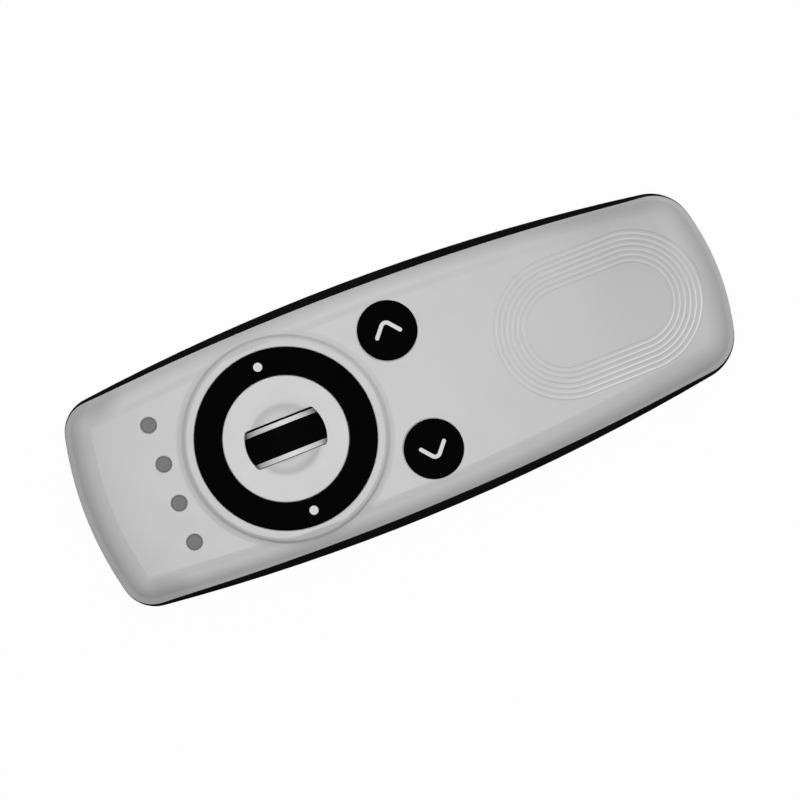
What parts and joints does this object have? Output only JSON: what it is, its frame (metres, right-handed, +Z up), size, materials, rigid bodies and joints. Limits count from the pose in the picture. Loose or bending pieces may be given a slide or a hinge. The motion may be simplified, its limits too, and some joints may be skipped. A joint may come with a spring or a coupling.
{
  "type": "smart remote control",
  "caption": "Handheld smart remote with a thumb wheel that turns and presses, a rocking ring, two side keys, light windows, a lined grip and a sliding battery door.",
  "frame": {"origin": "centre of the footprint, on the flat back that the remote lies on", "axes": "+X along the remote towards the grip end, +Y across it towards the right key, +Z up out of the keys"},
  "size_m": [0.138, 0.0506, 0.0211],
  "materials": {
    "cover": "satin light grey paint",
    "base": "fine satin black",
    "ring": "satin black",
    "key": "satin black",
    "marking": "light grey inlay",
    "window": "smoky grey",
    "wheel_silver": "satin silver paint",
    "wheel_rubber": "matt black",
    "inner_plastic": "moulded grey",
    "board": "green solder mask",
    "chip": "moulded black",
    "diode": "clear cap",
    "ceramic": "white ceramic",
    "steel": "plated",
    "magnet": "nickel plated",
    "silicone": "translucent silicone",
    "carbon": "carbon-filled"
  },
  "bodies": {
    "case": {"top_cover": "cover", "base_shell": "base", "centre_disc": "cover", "cradle_pin": "steel", "wheel_switch": "chip", "inner_frame": "inner_plastic", "circuit_board": "board", "hall_sensor": "chip", "indicator_leds": "diode", "controller_chip": "chip", "radio_shield": "steel", "crystal": "steel", "antenna": "ceramic", "capacitor": "magnet", "right_dome": "silicone", "left_dome": "silicone", "ring_dome_right": "silicone", "ring_dome_left": "silicone", "light_pipe_1": "window", "light_pipe_2": "window", "light_pipe_3": "window", "light_pipe_4": "window", "coin_cell": "steel", "battery_contact_plus": "steel", "battery_contact_minus": "steel", "case_screws": "steel", "disc_screws": "steel"},
    "ring": {"control_ring": "ring", "ring_dot_right": "marking", "ring_dot_left": "marking", "ring_contact_right": "carbon", "ring_contact_left": "carbon"},
    "right_key": {"right_button": "key", "right_chevron": "marking", "right_contact": "carbon"},
    "left_key": {"left_button": "key", "left_chevron": "marking", "left_contact": "carbon"},
    "cradle": {"wheel_cradle": "inner_plastic", "wheel_switch_plunger": "inner_plastic"},
    "wheel": {"wheel_hub": "wheel_silver", "wheel_tyre": "wheel_rubber", "wheel_axle": "steel", "encoder_magnet": "magnet"},
    "door": {"battery_door": "base"}
  },
  "joints": [
    {"name": "ring_rock", "type": "hinge", "parent": "case", "child": "ring", "pos_m": [-0.02485, 0, 0.01615], "axis": [1, 0, 0], "range_deg": [-1.2, 1.2], "stiffness_Nm_per_rad": 0.9, "deforming": ["ring_dome_right", "ring_dome_left"]},
    {"name": "right_press", "type": "slide", "parent": "case", "child": "right_key", "axis": [0, 0, -1], "range_m": [0, 0.0006], "stiffness_N_per_m": 1900, "springref_m": -0.0005, "deforming": ["right_dome"]},
    {"name": "left_press", "type": "slide", "parent": "case", "child": "left_key", "axis": [0, 0, -1], "range_m": [0, 0.0006], "stiffness_N_per_m": 1900, "springref_m": -0.0005, "deforming": ["left_dome"]},
    {"name": "wheel_press", "type": "hinge", "parent": "case", "child": "cradle", "pos_m": [-0.03885, 0, 0.01255], "axis": [0, 1, 0], "range_deg": [0, 1.2], "stiffness_Nm_per_rad": 0.74, "springref_deg": -0.57},
    {"name": "wheel_spin", "type": "hinge", "parent": "cradle", "child": "wheel", "pos_m": [-0.02485, 0, 0.01255], "axis": [0, 1, 0], "continuous": true},
    {"name": "door_slide", "type": "slide", "parent": "case", "child": "door", "axis": [1, 0, 0], "range_m": [0, 0.052]}
  ]
}
